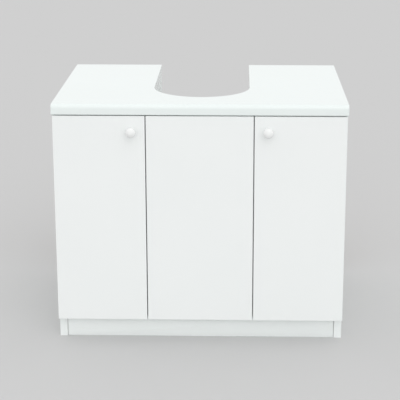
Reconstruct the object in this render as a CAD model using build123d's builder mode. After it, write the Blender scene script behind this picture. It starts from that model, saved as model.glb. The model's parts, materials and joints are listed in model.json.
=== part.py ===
# Low bathroom cabinet that stands around the column of a pedestal washbasin.
# Millimetres. +Z is up, the doors face -Y, and the origin is on the floor under the middle of the cabinet.
# Right-hand pieces (+X) are drawn once, and their left-hand twins are mirrored in the YZ plane.
import os

from build123d import *

# Driving dimensions
width = 600  # top panel, left to right
depth = 430  # top panel, front to back
height = 508  # floor to the top face
top_thickness = 22
panel = 16  # every other board
hardboard = 3  # back panels
overhang = 2  # top panel past the side panels and past the fronts
nose_upper = 9  # rounding of the top panel's front edge, above
nose_lower = 2  # and below
edge_round = 0.8  # softened edges of the faced boards
front_gap = 2  # between two fronts, and between a front and the top panel
front_standoff = 2  # from the carcass to the rear face of a front
front_lap = 1  # the fronts reach this far below the bottom panel's underside
plinth_height = 46
plinth_recess = 2
cut_radius = 101.5  # half-round end of the cut-out for the column
cut_margin = 75  # from the top panel's front edge to the cut-out
partition_x = 110  # middle plane of each partition
shelf_z = 267.5
shelf_depth = 375
shelf_setback = 12
knob_length = 23
knob_radius = 10.5
knob_x = 138.5
knob_z = 453
hinge_heights = (125, 405)

# Places that follow from them
half_width = width / 2 - overhang
side_inner = half_width - panel
partition_inner = partition_x - panel / 2
partition_outer = partition_x + panel / 2
front_reach = front_standoff + panel + knob_length  # from the carcass to the tip of a knob
back_reach = depth - overhang - front_standoff - panel  # from the carcass's front to the top panel's back
front = (front_reach - back_reach) / 2  # Y of the carcass's front plane
back = front + back_reach
carcass_back = back - hardboard
door_rear = front - front_standoff
door_face = door_rear - panel
top_front = door_face - overhang
underside = height - top_thickness
front_bottom = plinth_height - front_lap
front_top = underside - front_gap
door_inner = partition_x + front_gap / 2
cut_centre_y = top_front + cut_margin + cut_radius

# Fasteners
clearance = 0.05  # radial, between a fastener and its hole
cam_radius, cam_depth = 7.5, 12.5
cam_distance = 34  # from a joint to the middle of its cam
cam_set_back = 0.1  # below the board's face
cam_cross = (9, 1.6, 1.8)  # a cross recess: overall size, slot width, depth
bolt_radius, bolt_bore, bolt_thread = 2.5, 4, 10
bolt_head, bolt_collar, bolt_collar_height = 3, 3.5, 1.5
dowel_radius, dowel_in_face, dowel_in_edge = 4, 13, 18  # depths of its two holes
end_play = 1  # left at the end of a blind hole
confirmat_head, confirmat_head_height, confirmat_sunk = 5, 2.5, 0.2
confirmat_shank, confirmat_thread, confirmat_length = 3.5, 2.5, 50
pin_radius, pin_shank, pin_reach, pin_pitch = 2.5, 8, 8, 32
block = 20  # corner blocks are cubes
block_bore, block_seat, block_chamfer = 4, 9, 4
wood_screw, wood_screw_head, wood_screw_head_height = 1.75, 3.4, 2.2
wood_screw_pilot, wood_screw_bite = 12, 11
small_cross = (3.6, 0.9, 1.2)
large_cross = (4.4, 1, 1.3)
nail_radius, nail_head, nail_head_height, nail_length = 0.8, 1.8, 0.8, 22
pin_collar, pin_collar_height, shelf_play = 3.5, 0.7, 0.75
back_margin = 1  # the back panels stop this far inside the carcass
knob_foot, knob_foot_edge = 7, 1
knob_waist, knob_waist_y, knob_rim, knob_flat = 4.8, 6.5, 15, 1.2
knob_thread, knob_thread_play, knob_bore_depth = 2, 0.2, 12
knob_screw_head, knob_screw_head_height, knob_screw_bite = 4.2, 2.2, 10
bumper_x, bumper_radius, bumper_height, bumper_inset = 115, 3, 1.6, 12

# Concealed hinge, seen from above: u runs inwards from the side panel's outer face,
# and v forwards from the carcass.
arm_pivot = (34, 3.8)
cup_pivot = (10.6, 8.1)
link_peak = (23.2, 10.7)  # the middle of the bowed link
link_strap, link_eye, link_half_height = 2.6, 2.6, 4.7
pivot_radius = 1.25
cup_centre_u = 22.5
cup_radius, cup_depth, cup_wall = 17.5, 12.3, 1.2
flange, flange_lip, cup_set_in = 0.8, 1, 0.1
ear_thickness, ear_half_width = 2, 2.2
wing_width, cup_screw_rise, cup_screw_inset, cup_screw_head_height = 12, 24, 6, 1.2
link_play = 0.5  # between the link and each ear
cup_pin_half_length = 8
arm_top_u, arm_gauge, arm_half_height, arm_length = 36, 1.2, 6.4, 58
arm_neck_u, arm_neck_v, arm_shoulder_v = 24, -2, -12
plate_v, plate_gauge, plate_screw_rise = -37, 2, 16
plate_length, plate_width, plate_corner, wing_corner = 34, 13, 2, 5
rib_ahead, rib_behind, rib_play = 16, 18, 0.2
plate_screw, plate_screw_head, plate_screw_depth = 2.5, 4, 11
arm_screw_vs = (-27, -46)
arm_screw, arm_screw_head, arm_screw_depth, arm_screw_hole = 2.45, 4, 9, 2.6
machine_head_height = 2

RIGHT, LEFT = (1, 0, 0), (-1, 0, 0)
REAR, FORWARD = (0, 1, 0), (0, -1, 0)
UP, DOWN = (0, 0, 1), (0, 0, -1)
FROM_BASE = (Align.CENTER, Align.CENTER, Align.MIN)

# A place is (x, y, z, direction). Joints of the carcass point into the board that holds the cam.
cam_ys = (front + 50, carcass_back - 60)
dowel_ys = (front + 92, carcass_back - 102)
pin_ys = (front + 62, carcass_back - 42)
floor_mid = plinth_height + panel / 2
side_mid = half_width - panel / 2
side_bolts = [(side_mid, y, underside, DOWN) for y in cam_ys]
side_dowels = [(side_mid, y, underside, DOWN) for y in dowel_ys]
side_cams = [(side_inner, y, underside - cam_distance, RIGHT) for y in cam_ys]
partition_bolts = [(partition_x, y, underside, DOWN) for y in cam_ys]
partition_dowels = [(partition_x, y, underside, DOWN) for y in dowel_ys]
partition_cams = [(partition_outer, y, underside - cam_distance, LEFT) for y in cam_ys]
floor_bolts = [(side_inner, y, floor_mid, LEFT) for y in cam_ys]
floor_dowels = [(side_inner, y, floor_mid, LEFT) for y in dowel_ys]
floor_cams = [(side_inner - cam_distance, y, plinth_height, UP) for y in cam_ys]
confirmats = [(partition_x, y, plinth_height, UP) for y in cam_ys]

pin_rows = [shelf_z - pin_radius + pin_pitch * step for step in range(-2, 3)]
side_pins = [(side_inner, y, z, RIGHT) for y in pin_ys for z in pin_rows]
partition_pins = [(partition_outer, y, z, LEFT) for y in pin_ys for z in pin_rows]
used_pins = [place for place in side_pins + partition_pins if place[2] == pin_rows[2]]

centre_block_zs = (95, 435)
centre_block_y = door_rear + block / 2
centre_block_x = partition_inner - block / 2
plinth_rear = front + plinth_recess + panel
plinth_block_y = plinth_rear + block / 2
floor_block = (150, plinth_block_y, plinth_height - block / 2)
side_block = (side_inner - block / 2, plinth_block_y, 20)
stagger = 4  # the two screws of a block pass each other
panel_screws = [(centre_block_x, door_rear + block, z + stagger, FORWARD) for z in centre_block_zs]
partition_screws = [(partition_inner - block, centre_block_y, z - stagger, RIGHT) for z in centre_block_zs]
plinth_screws = [
    (floor_block[0] - stagger, plinth_rear + block, floor_block[2], FORWARD),
    (side_block[0], plinth_rear + block, side_block[2] + stagger, FORWARD),
]
floor_screws = [(floor_block[0] + stagger, plinth_block_y, plinth_height - block, UP)]
side_screws = [(side_inner - block, plinth_block_y, side_block[2] - stagger, RIGHT)]
block_screws = panel_screws + partition_screws + plinth_screws + floor_screws + side_screws

nail_zs = (92, 210, 330, 448)
side_nails = [(side_mid, back, z, FORWARD) for z in nail_zs]
partition_nails = [(partition_x, back, z, FORWARD) for z in nail_zs]
floor_nails = [(x, back, floor_mid, FORWARD) for x in (165, 235)]
nails = side_nails + partition_nails + floor_nails

plate_screws = [
    (side_inner - plate_gauge, front - plate_v, z + rise, RIGHT)
    for z in hinge_heights
    for rise in (-plate_screw_rise, plate_screw_rise)
]
cup_screws = [
    (half_width - cup_centre_u - cup_screw_inset, door_rear + flange, z + rise, FORWARD)
    for z in hinge_heights
    for rise in (-cup_screw_rise, cup_screw_rise)
]
knob_screw = [(knob_x, door_rear, knob_z, FORWARD)]

os.makedirs("parts", exist_ok=True)


def keep(piece, name):
    """Label a finished piece and write it."""
    piece.part.label = name
    export_step(piece.part, f"parts/{name}.step")


def keep_pair(right_piece, name):
    """Write a right-hand piece and its mirrored left-hand twin."""
    with BuildPart() as left_piece:
        mirror(right_piece.part, about=Plane.YZ)
    keep(right_piece, f"right_{name}")
    keep(left_piece, f"left_{name}")


def both_sides(places):
    """Right-hand places and their left-hand twins."""
    return places + [(-x, y, z, (-dx, dy, dz)) for x, y, z, (dx, dy, dz) in places]


def flipped(places):
    """The same points, pointing into the board on the joint's other side."""
    return [(x, y, z, (-dx, -dy, -dz)) for x, y, z, (dx, dy, dz) in places]


def turned(places, *steps, mode=Mode.ADD):
    """Coaxial cylinders at each place, as (radius, start, end) along its direction."""
    for x, y, z, direction in places:
        plane = Plane(origin=(x, y, z), z_dir=direction)
        for radius, start, end in steps:
            with Locations(plane.offset(start)):
                Cylinder(radius, end - start, align=FROM_BASE, mode=mode)


def drill(places, radius, hole_depth):
    """Blind holes at places."""
    turned(places, (radius, 0, hole_depth), mode=Mode.SUBTRACT)


def pilot_holes(places):
    """Blind holes for wood screws."""
    drill(places, wood_screw, wood_screw_pilot)


def nail_holes(places):
    """Blind holes for the nails of the back panels."""
    drill(places, nail_radius, nail_length - hardboard + end_play)


def cross_slots(places, start, cross_recess):
    """Cross recesses in the heads of fasteners."""
    size, slot, recess = cross_recess
    for x, y, z, direction in places:
        with BuildSketch(Plane(origin=(x, y, z), z_dir=direction).offset(start)) as cross:
            Rectangle(size, slot)
            Rectangle(slot, size)
        extrude(cross.sketch, amount=recess, mode=Mode.SUBTRACT)


def board(x_range, y_range, z_range, mode=Mode.ADD):
    """A box between limits along each axis."""
    ranges = (x_range, y_range, z_range)
    with Locations(tuple(sum(limits) / 2 for limits in ranges)):
        Box(*(high - low for low, high in ranges), mode=mode)


def soften(edges):
    """Round the exposed edges of a faced board."""
    fillet(edges, edge_round)


def cut_out():
    """Plan of the cut-out: straight sides, half-round front, open to the back."""
    with Locations((0, cut_centre_y)):
        Circle(cut_radius, mode=Mode.SUBTRACT)
    with Locations((0, (cut_centre_y + back) / 2)):
        Rectangle(2 * cut_radius, back - cut_centre_y, mode=Mode.SUBTRACT)


def hinge_plan(u, v):
    """Hinge coordinates to X and Y on the right-hand side."""
    return half_width - u, front - v


# Top panel
with BuildPart() as top_panel:
    with BuildSketch(Plane.XY.offset(underside)):
        with Locations((0, (top_front + back) / 2)):
            Rectangle(width, depth)
        cut_out()
    extrude(amount=top_thickness)
    fillet(top_panel.edges().filter_by(Axis.X).group_by(Axis.Y)[0].sort_by(Axis.Z)[-1], nose_upper)
    fillet(top_panel.edges().filter_by(Axis.X).group_by(Axis.Y)[0].sort_by(Axis.Z)[0], nose_lower)
    rim = top_panel.faces().sort_by(Axis.Z)[-1].edges()
    soften([edge for edge in rim if edge.center().Y > top_front + 2 * nose_upper])
    drill(flipped(both_sides(side_bolts + partition_bolts)), bolt_radius, bolt_thread + end_play)
    drill(flipped(both_sides(side_dowels + partition_dowels)), dowel_radius, dowel_in_face)
keep(top_panel, "top_panel")

# Bottom panel, with the same cut-out
with BuildPart() as bottom_panel:
    with BuildSketch(Plane.XY.offset(plinth_height)):
        with Locations((0, (front + carcass_back) / 2)):
            Rectangle(2 * side_inner, carcass_back - front)
        cut_out()
    extrude(amount=panel)
    drill(both_sides(floor_cams), cam_radius, cam_depth)
    drill(both_sides(floor_bolts), bolt_bore, cam_distance)
    drill(both_sides(floor_dowels), dowel_radius, dowel_in_edge)
    drill(both_sides(confirmats), confirmat_shank, panel)
    drill(both_sides(confirmats), confirmat_head, confirmat_head_height)
    pilot_holes(both_sides([(x, y, plinth_height, UP) for x, y, z, direction in floor_screws]))
    nail_holes(both_sides([(x, carcass_back, z, FORWARD) for x, y, z, direction in floor_nails]))
keep(bottom_panel, "bottom_panel")

# Side panels stand on the floor and carry the hinges
with BuildPart() as side_panel:
    board((side_inner, half_width), (front, carcass_back), (0, underside))
    soften(side_panel.faces().sort_by(Axis.Y)[0].edges().filter_by(Axis.Z))
    drill(side_bolts, bolt_bore, cam_distance)
    drill(side_dowels, dowel_radius, dowel_in_edge)
    drill(side_cams, cam_radius, cam_depth)
    drill(flipped(floor_bolts), bolt_radius, bolt_thread + end_play)
    drill(flipped(floor_dowels), dowel_radius, dowel_in_face)
    drill(side_pins, pin_radius, pin_shank + end_play)
    euro_holes = [(side_inner, y, z, RIGHT) for x, y, z, direction in plate_screws]
    drill(euro_holes, plate_screw, plate_screw_depth - plate_gauge + end_play)
    pilot_holes([(side_inner, y, z, RIGHT) for x, y, z, direction in side_screws])
    nail_holes([(x, carcass_back, z, FORWARD) for x, y, z, direction in side_nails])
keep_pair(side_panel, "side_panel")

# Partitions close the cupboards off from the column
with BuildPart() as partition:
    board((partition_inner, partition_outer), (front, carcass_back), (plinth_height + panel, underside))
    drill(partition_bolts, bolt_bore, cam_distance)
    drill(partition_dowels, dowel_radius, dowel_in_edge)
    drill(partition_cams, cam_radius, cam_depth)
    drill(partition_pins, pin_radius, pin_shank + end_play)
    thread_holes = [(x, y, plinth_height + panel, UP) for x, y, z, direction in confirmats]
    drill(thread_holes, confirmat_thread, confirmat_length - panel + 2 * end_play)
    pilot_holes([(partition_inner, y, z, RIGHT) for x, y, z, direction in partition_screws])
    nail_holes([(x, carcass_back, z, FORWARD) for x, y, z, direction in partition_nails])
keep_pair(partition, "partition")

# Plinth board
with BuildPart() as plinth_board:
    board((-side_inner, side_inner), (front + plinth_recess, plinth_rear), (0, plinth_height))
    pilot_holes(both_sides([(x, plinth_rear, z, FORWARD) for x, y, z, direction in plinth_screws]))
keep(plinth_board, "plinth_board")

# Middle front, fixed to the partitions with corner blocks
with BuildPart() as centre_front_panel:
    limit = partition_x - front_gap / 2
    board((-limit, limit), (door_face, door_rear), (front_bottom, front_top))
    soften(centre_front_panel.faces().sort_by(Axis.Y)[0].edges())
    pilot_holes(both_sides([(x, door_rear, z, FORWARD) for x, y, z, direction in panel_screws]))
keep(centre_front_panel, "centre_front_panel")

# Plastic corner blocks behind the middle front
with BuildPart() as centre_panel_blocks:
    for z in centre_block_zs:
        with Locations((centre_block_x, centre_block_y, z)):
            Box(block, block, block)
    free_edges = centre_panel_blocks.edges().filter_by(Axis.Z).group_by(Axis.Y)[-1].group_by(Axis.X)[0]
    chamfer(free_edges, block_chamfer)
    drill(panel_screws + partition_screws, wood_screw + clearance, block)
    drill(panel_screws + partition_screws, block_bore, block_seat)
    mirror(about=Plane.YZ)
keep(centre_panel_blocks, "centre_panel_blocks")

# Plastic corner blocks behind the plinth board
with BuildPart() as plinth_blocks:
    with Locations(floor_block):
        Box(block, block, block)
    chamfer(plinth_blocks.edges().filter_by(Axis.X).group_by(Axis.Y)[-1].sort_by(Axis.Z)[0], block_chamfer)
    with Locations(side_block):
        Box(block, block, block)
    side_edges = plinth_blocks.solids().sort_by(Axis.X)[-1].edges().filter_by(Axis.Z)
    chamfer(side_edges.group_by(Axis.Y)[-1].sort_by(Axis.X)[0], block_chamfer)
    drill(plinth_screws + floor_screws + side_screws, wood_screw + clearance, block)
    drill(plinth_screws + floor_screws + side_screws, block_bore, block_seat)
    mirror(about=Plane.YZ)
keep(plinth_blocks, "plinth_blocks")

# Back panels, nailed on
with BuildPart() as back_panel:
    board(
        (partition_inner + back_margin, half_width - back_margin),
        (carcass_back, back),
        (plinth_height + back_margin, underside - back_margin),
    )
    drill(nails, nail_radius, hardboard)
    drill(nails, nail_head, nail_head_height)
keep_pair(back_panel, "back_panel")

with BuildPart() as back_panel_nails:
    turned(both_sides(nails), (nail_head, 0, nail_head_height), (nail_radius, nail_head_height, nail_length))
keep(back_panel_nails, "back_panel_nails")

# Shelves and their pins
with BuildPart() as shelf:
    board(
        (partition_outer + shelf_play, side_inner - shelf_play),
        (front + shelf_setback, front + shelf_setback + shelf_depth),
        (shelf_z, shelf_z + panel),
    )
    soften(shelf.faces().sort_by(Axis.Y)[0].edges().filter_by(Axis.X))
keep_pair(shelf, "shelf")

with BuildPart() as shelf_pins:
    turned(
        both_sides(used_pins),
        (pin_radius, -pin_reach, 0),
        (pin_collar, -pin_collar_height, 0),
        (pin_radius - clearance, 0, pin_shank),
    )
keep(shelf_pins, "shelf_pins")

# Knock-down fittings of the carcass
all_bolts = both_sides(side_bolts + partition_bolts + floor_bolts)
all_cams = both_sides(side_cams + partition_cams + floor_cams)
all_dowels = both_sides(side_dowels + partition_dowels + floor_dowels)

with BuildPart() as cam_locks:
    turned(all_cams, (cam_radius - clearance, cam_set_back, cam_depth - cam_set_back))
    drill(all_bolts, bolt_bore, cam_distance + end_play)
    cross_slots(all_cams, 0, cam_cross)
keep(cam_locks, "cam_locks")

with BuildPart() as cam_bolts:
    turned(
        all_bolts,
        (bolt_radius - clearance, -bolt_thread, cam_distance - bolt_head),
        (bolt_collar, 0, bolt_collar_height),
        (bolt_collar, cam_distance - bolt_head, cam_distance),
    )
keep(cam_bolts, "cam_bolts")

with BuildPart() as dowels:
    turned(all_dowels, (dowel_radius - clearance, end_play - dowel_in_face, dowel_in_edge - end_play))
keep(dowels, "dowels")

with BuildPart() as partition_confirmats:
    turned(
        both_sides(confirmats),
        (confirmat_head - clearance, confirmat_sunk, confirmat_head_height),
        (confirmat_shank - clearance, confirmat_head_height, panel),
        (confirmat_thread - clearance, panel, confirmat_length),
    )
keep(partition_confirmats, "partition_confirmats")

with BuildPart() as corner_block_screws:
    turned(
        both_sides(block_screws),
        (wood_screw_head, block_seat - wood_screw_head_height, block_seat),
        (wood_screw - clearance, block_seat, block + wood_screw_bite),
    )
    cross_slots(both_sides(block_screws), block_seat - wood_screw_head_height, small_cross)
keep(corner_block_screws, "corner_block_screws")

# Doors, bored for the hinge cups and the knob
cup_places = [(half_width - cup_centre_u, door_rear, z, FORWARD) for z in hinge_heights]
with BuildPart() as door:
    board((door_inner, half_width), (door_face, door_rear), (front_bottom, front_top))
    soften(door.faces().sort_by(Axis.Y)[0].edges())
    drill(cup_places, cup_radius, cup_depth)
    pilot_holes([(x, door_rear, z, FORWARD) for x, y, z, direction in cup_screws])
    drill(knob_screw, knob_thread + knob_thread_play, panel)
keep_pair(door, "door_panel")

# Knobs: a flared foot, a waist and a domed head
knob_section = Plane(origin=(knob_x, door_face, knob_z), x_dir=RIGHT, z_dir=DOWN)
with BuildPart() as knob:
    with BuildSketch(knob_section):
        with BuildLine():
            foot = Line((knob_thread + clearance, 0), (knob_foot, 0))
            lip = Line(foot @ 1, (knob_foot, knob_foot_edge))
            waist_points = (lip @ 1, (knob_waist, knob_waist_y), (knob_radius, knob_rim))
            Spline(*waist_points, tangents=((-1, 0.6), (0, 1)))
            crown = (knob_flat, knob_rim), knob_radius - knob_flat, knob_length - knob_rim
            dome = EllipticalCenterArc(*crown, arc_size=90)
            bore_end = (knob_thread + clearance, knob_bore_depth)
            Polyline(dome @ 1, (0, knob_length), (0, knob_bore_depth), bore_end, foot @ 0)
        make_face()
    revolve(axis=Axis((knob_x, door_face, knob_z), FORWARD))
keep_pair(knob, "knob")

with BuildPart() as knob_screw_piece:
    turned(
        knob_screw,
        (knob_screw_head, -knob_screw_head_height, 0),
        (knob_thread, 0, panel + knob_screw_bite),
    )
    cross_slots(knob_screw, -knob_screw_head_height, large_cross)
keep_pair(knob_screw_piece, "knob_screw")

with BuildPart() as door_bumpers:
    bumper_zs = (front_bottom + bumper_inset, front_top - bumper_inset)
    turned([(bumper_x, door_rear, z, REAR) for z in bumper_zs], (bumper_radius, 0, bumper_height))
keep_pair(door_bumpers, "door_bumpers")

# Hinge cups, pressed into the doors, with two ears for the pin
with BuildPart() as hinge_cups:
    for z in hinge_heights:
        rim_centre = (half_width - cup_centre_u, door_rear + flange, z)
        with BuildSketch(Plane(origin=rim_centre, x_dir=RIGHT, z_dir=FORWARD)):
            Circle(cup_radius + flange_lip)
            with Locations((-cup_screw_inset, 0)):
                SlotOverall(2 * cup_screw_rise + wing_width, wing_width, rotation=90)
        extrude(amount=flange)
        bowl = (cup_radius - clearance, 0, cup_depth - cup_set_in)
        turned([(half_width - cup_centre_u, door_rear, z, FORWARD)], bowl)
        drill(
            [(half_width - cup_centre_u, door_rear + flange, z, FORWARD)],
            cup_radius - cup_wall,
            flange + cup_depth - cup_wall,
        )
        pin_x, pin_y = hinge_plan(*cup_pivot)
        for ear_z in (z - link_half_height - link_play - ear_thickness, z + link_half_height + link_play):
            board(
                (pin_x - ear_half_width, pin_x + ear_half_width + 1),
                (door_rear - cup_depth + 1, pin_y + ear_half_width),
                (ear_z, ear_z + ear_thickness),
            )
        pin_hole = (pin_x, pin_y, z - cup_pin_half_length - end_play, UP)
        drill([pin_hole], pivot_radius + clearance, 2 * (cup_pin_half_length + end_play))
    drill(cup_screws, wood_screw + clearance, flange)
keep_pair(hinge_cups, "hinge_cups")

with BuildPart() as cup_pins:
    for z in hinge_heights:
        turned([(*hinge_plan(*cup_pivot), z, UP)], (pivot_radius, -cup_pin_half_length, cup_pin_half_length))
keep_pair(cup_pins, "hinge_cup_pins")

with BuildPart() as cup_screw_pieces:
    turned(
        cup_screws,
        (wood_screw_head, -cup_screw_head_height, 0),
        (wood_screw - clearance, 0, wood_screw_pilot),
    )
    cross_slots(cup_screws, -cup_screw_head_height, small_cross)
keep_pair(cup_screw_pieces, "hinge_cup_screws")

# Hinge links: bowed straps with an eye at each end
with BuildPart() as links:
    for z in hinge_heights:
        with BuildSketch(Plane.XY.offset(z)):
            with BuildLine():
                ThreePointArc(hinge_plan(*cup_pivot), hinge_plan(*link_peak), hinge_plan(*arm_pivot))
            trace(line_width=link_strap)
            with Locations(hinge_plan(*cup_pivot), hinge_plan(*arm_pivot)):
                Circle(link_eye)
                Circle(pivot_radius + clearance, mode=Mode.SUBTRACT)
        extrude(amount=link_half_height, both=True)
keep_pair(links, "hinge_links")

# Hinge arms: a channel with two cheeks that hold the pin
with BuildPart() as arms:
    nose_u, nose_v = arm_pivot
    cheek = [
        (nose_u - link_eye, nose_v),
        (nose_u - link_eye, arm_neck_v),
        (arm_neck_u, arm_shoulder_v),
        (arm_neck_u, -arm_length),
        (arm_top_u, -arm_length),
        (arm_top_u, arm_neck_v / 2),
        (nose_u + link_eye, nose_v),
    ]
    for z in hinge_heights:
        with BuildSketch(Plane.XY.offset(z)):
            with BuildLine():
                Polyline(*[hinge_plan(*point) for point in cheek], close=True)
            make_face()
            with Locations(hinge_plan(*arm_pivot)):
                Circle(link_eye)
                Circle(pivot_radius + clearance, mode=Mode.SUBTRACT)
        extrude(amount=arm_half_height, both=True)
        board(
            (half_width - arm_top_u + arm_gauge, half_width),
            (front - 4 * nose_v, front + arm_length + 1),
            (z - arm_half_height + arm_gauge, z + arm_half_height - arm_gauge),
            mode=Mode.SUBTRACT,
        )
        board(
            (half_width - arm_top_u - arm_gauge, half_width),
            (front - 4 * nose_v, front + arm_gauge),
            (z - arm_half_height + arm_gauge, z + arm_half_height - arm_gauge),
            mode=Mode.SUBTRACT,
        )
        arm_holes = [(half_width - arm_top_u, front - v, z, RIGHT) for v in arm_screw_vs]
        drill(arm_holes, arm_screw_hole, arm_gauge)
keep_pair(arms, "hinge_arms")

with BuildPart() as arm_pins:
    for z in hinge_heights:
        turned([(*hinge_plan(*arm_pivot), z, UP)], (pivot_radius, -arm_half_height, arm_half_height))
keep_pair(arm_pins, "hinge_arm_pins")

# Mounting plates: a winged foot and a rib that the arm slides over
rib_half_height = arm_half_height - arm_gauge - rib_play
with BuildPart() as plates:
    for z in hinge_heights:
        with BuildSketch(Plane(origin=(side_inner, front - plate_v, z), x_dir=REAR, z_dir=LEFT)):
            RectangleRounded(plate_length, 2 * arm_half_height, plate_corner)
            RectangleRounded(plate_width, 2 * plate_screw_rise + plate_width, wing_corner)
        extrude(amount=plate_gauge)
        board(
            (half_width - arm_top_u + arm_gauge, side_inner),
            (front - plate_v - rib_ahead, front - plate_v + rib_behind),
            (z - rib_half_height, z + rib_half_height),
        )
        rib_holes = [(half_width - arm_top_u + arm_gauge, front - v, z, RIGHT) for v in arm_screw_vs]
        drill(rib_holes, arm_screw + clearance, arm_screw_depth)
    drill(plate_screws, plate_screw + clearance, plate_gauge)
keep_pair(plates, "hinge_plates")

with BuildPart() as arm_screws:
    heads = [(half_width - arm_top_u, front - v, z, RIGHT) for z in hinge_heights for v in arm_screw_vs]
    turned(both_sides(heads), (arm_screw_head, -machine_head_height, 0), (arm_screw, 0, arm_screw_depth))
    cross_slots(both_sides(heads), -machine_head_height, large_cross)
keep(arm_screws, "hinge_arm_screws")

with BuildPart() as plate_screw_pieces:
    turned(
        both_sides(plate_screws),
        (plate_screw_head, -machine_head_height, 0),
        (plate_screw - clearance, 0, plate_screw_depth),
    )
    cross_slots(both_sides(plate_screws), -machine_head_height, large_cross)
keep(plate_screw_pieces, "hinge_plate_screws")
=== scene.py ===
import json
import math
import bmesh
import bpy
import numpy as np
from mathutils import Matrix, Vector


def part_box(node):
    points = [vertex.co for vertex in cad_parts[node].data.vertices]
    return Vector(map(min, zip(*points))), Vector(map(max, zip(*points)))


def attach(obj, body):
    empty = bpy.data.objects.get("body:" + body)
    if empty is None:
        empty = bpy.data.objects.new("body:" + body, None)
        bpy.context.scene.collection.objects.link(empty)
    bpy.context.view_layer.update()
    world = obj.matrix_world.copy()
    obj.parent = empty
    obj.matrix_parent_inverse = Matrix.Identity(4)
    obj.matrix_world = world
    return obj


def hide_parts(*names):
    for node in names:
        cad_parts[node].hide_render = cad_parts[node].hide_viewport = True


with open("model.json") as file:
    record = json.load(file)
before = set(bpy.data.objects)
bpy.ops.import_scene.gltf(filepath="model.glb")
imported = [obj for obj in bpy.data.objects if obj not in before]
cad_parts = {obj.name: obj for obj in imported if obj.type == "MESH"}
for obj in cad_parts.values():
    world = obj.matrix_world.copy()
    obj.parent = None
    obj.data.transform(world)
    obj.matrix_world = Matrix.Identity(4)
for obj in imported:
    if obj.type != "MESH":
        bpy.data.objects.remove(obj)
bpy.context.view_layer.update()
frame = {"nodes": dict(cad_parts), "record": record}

nodes = frame["nodes"]
mm = 0.001
sides = (("left", -1), ("right", 1))
quarterTurn = math.pi / 2
print("frame loaded:", len(nodes), "nodes")


def place(node):
    # lowest and highest corner of a node, as numpy
    low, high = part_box(node)
    return np.array(low), np.array(high)


def addNode(tree, kind, settings=None, **inputs):
    # one shader node; an input is given by its name with _ for spaces, or in1, in2 by its number
    made = tree.nodes.new(kind)
    for key, value in (settings or {}).items():
        setattr(made, key, value)
    for key, value in inputs.items():
        numbered = key[:2] == "in" and key[2:].isdigit()
        socket = made.inputs[int(key[2:]) if numbered else key.replace("_", " ")]
        if isinstance(value, bpy.types.NodeSocket):
            tree.links.new(value, socket)
        else:
            socket.default_value = value
    return made


def sums(tree, operation, a, b=0.0, c=None):
    # a Math node's output
    given = {"in0": a, "in1": b}
    if c is not None:
        given["in2"] = c
    return addNode(tree, "ShaderNodeMath", {"operation": operation}, **given).outputs[0]


def times(tree, a, b):
    return sums(tree, "MULTIPLY", a, b)


def apart(tree, a, b):
    # how far two numbers lie apart
    return sums(tree, "ABSOLUTE", sums(tree, "SUBTRACT", a, b))


def mixed(tree, factor, a, b):
    # colour a where the factor is 0, b where it is 1
    return addNode(tree, "ShaderNodeMix", {"data_type": "RGBA"}, in0=factor, in6=a, in7=b).outputs[2]


def between(tree, factor, a, b):
    # number a where the factor is 0, b where it is 1
    return addNode(tree, "ShaderNodeMix", {"data_type": "FLOAT"}, in0=factor, in2=a, in3=b).outputs[0]


def rgb(values, alpha=1.0):
    return (values[0], values[1], values[2], alpha)


def startMaterial(name):
    made = bpy.data.materials.new(name)
    made.use_nodes = True
    tree = made.node_tree
    shader = tree.nodes["Principled BSDF"]
    where = addNode(tree, "ShaderNodeTexCoord").outputs["Object"]
    return made, tree, shader, where


def noiseAt(tree, where, scale, detail=3.0, roughness=0.5, stretch=None):
    # noise on object coordinates, with the scale in bumps a metre
    if stretch:
        where = addNode(tree, "ShaderNodeMapping", in0=where, Scale=stretch).outputs[0]
    made = addNode(tree, "ShaderNodeTexNoise", Vector=where, Scale=scale, Detail=detail, Roughness=roughness)
    return made.outputs["Fac"]


def ramp(tree, value, low, high, outLow=0.0, outHigh=1.0):
    # a value stretched from one range to another, held at its ends
    given = {"in0": value, "in1": low, "in2": high, "in3": outLow, "in4": outHigh}
    return addNode(tree, "ShaderNodeMapRange", {"clamp": True}, **given).outputs[0]


def bumpFrom(tree, shader, height, distance, strength):
    made = addNode(tree, "ShaderNodeBump", Height=height, Distance=distance, Strength=strength)
    tree.links.new(made.outputs[0], shader.inputs["Normal"])


def dress(node, material):
    slots = nodes[node].data.materials
    slots.clear()
    slots.append(material)


chipboard = {
    "pale": (0.60, 0.45, 0.29), "dark": (0.33, 0.21, 0.12), "tones": (0.3, 0.85),
    "flakes": 420.0, "fines": 1500.0,  # per metre
    "flakeShare": 0.45, "fineShare": 0.7, "fineDetail": 4.0, "fineRoughness": 0.65,
    "depth": 0.35 * mm, "roughness": 0.85,
    "fade": 0.1 * mm,  # width over which a facing ends
}


def chipboardColour(tree, where):
    flake = addNode(tree, "ShaderNodeTexVoronoi", {"feature": "F1"}, Vector=where, Scale=chipboard["flakes"])
    fine = noiseAt(tree, where, chipboard["fines"], chipboard["fineDetail"], chipboard["fineRoughness"])
    flakes = times(tree, flake.outputs["Color"], chipboard["flakeShare"])
    shade = sums(tree, "MULTIPLY_ADD", fine, chipboard["fineShare"], flakes)
    tone = ramp(tree, shade, *chipboard["tones"])
    return mixed(tree, tone, rgb(chipboard["dark"]), rgb(chipboard["pale"])), shade


def faceColour(tree, where, look, fromMiddle, half, shown=None):
    # the facing, faintly clouded, with the fine line where a band or a fold meets it
    line = ramp(tree, apart(tree, fromMiddle, half - look["jointIn"]), *look["jointLine"], look["joint"], 0.0)
    if shown is not None:
        line = times(tree, line, shown)
    cloud = ramp(tree, noiseAt(tree, where, look["cloud"], look["cloudDetail"]), *look["tones"])
    face = mixed(tree, cloud, rgb(look["colour"]), rgb(look["colour2"]))
    return mixed(tree, line, face, rgb(look["jointColour"]))


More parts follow.
